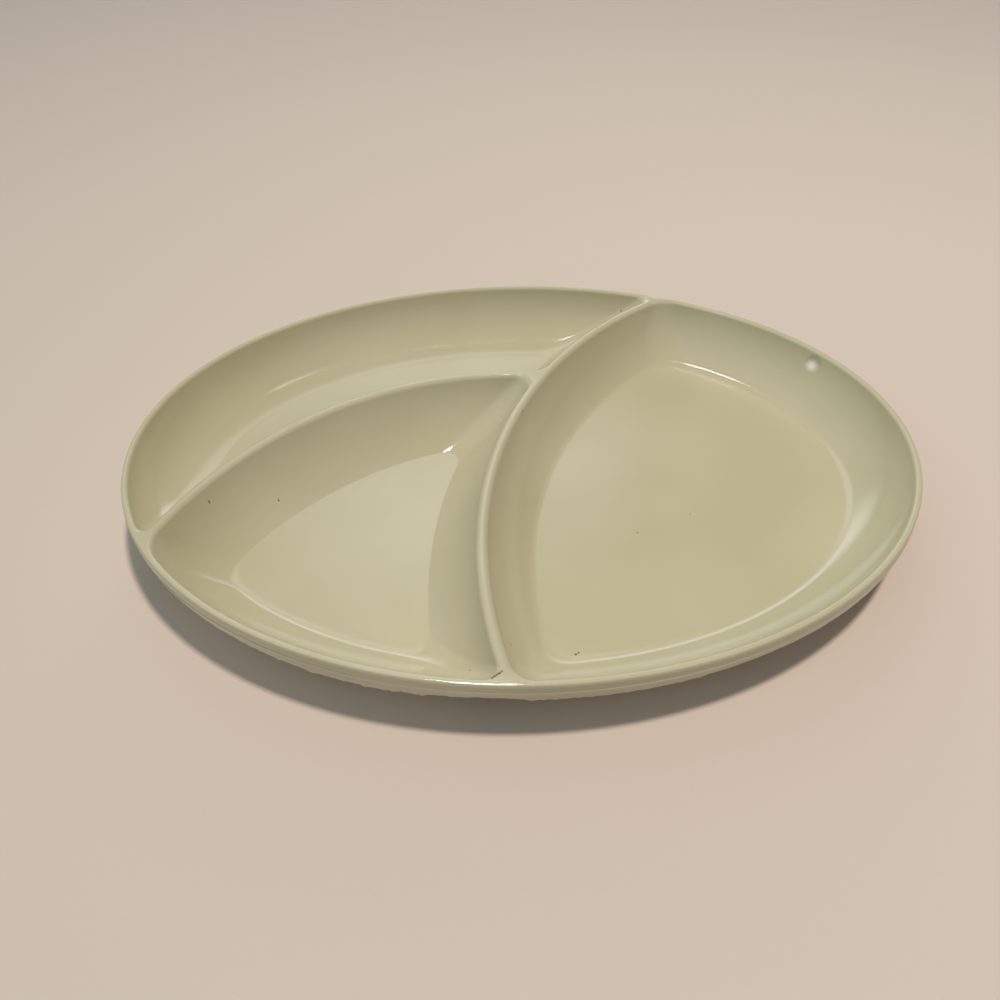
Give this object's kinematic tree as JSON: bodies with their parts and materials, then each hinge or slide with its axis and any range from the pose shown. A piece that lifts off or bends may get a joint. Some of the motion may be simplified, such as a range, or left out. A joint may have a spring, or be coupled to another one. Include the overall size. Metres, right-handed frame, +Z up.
{
  "type": "divided serving platter",
  "caption": "Shallow oval serving platter whose curved dividers part it into a round well, a fan-shaped well and a crescent well, with a narrow lip, a short skirt and low foot rings.",
  "frame": {"origin": "middle of the oval, on the surface the platter stands on", "axes": "+X along the long way of the oval, towards the round well; +Y away from the front; +Z up out of the wells"},
  "size_m": [0.33, 0.233, 0.028],
  "materials": {
    "melamine": "glossy moulded, pale celadon cream"
  },
  "bodies": {
    "root": {"rim": "melamine", "long_divider": "melamine", "short_divider": "melamine", "round_wall": "melamine", "round_floor": "melamine", "round_foot": "melamine", "fan_wall": "melamine", "fan_floor": "melamine", "fan_foot": "melamine", "crescent_wall": "melamine", "crescent_floor": "melamine", "crescent_foot": "melamine"}
  },
  "joints": []
}
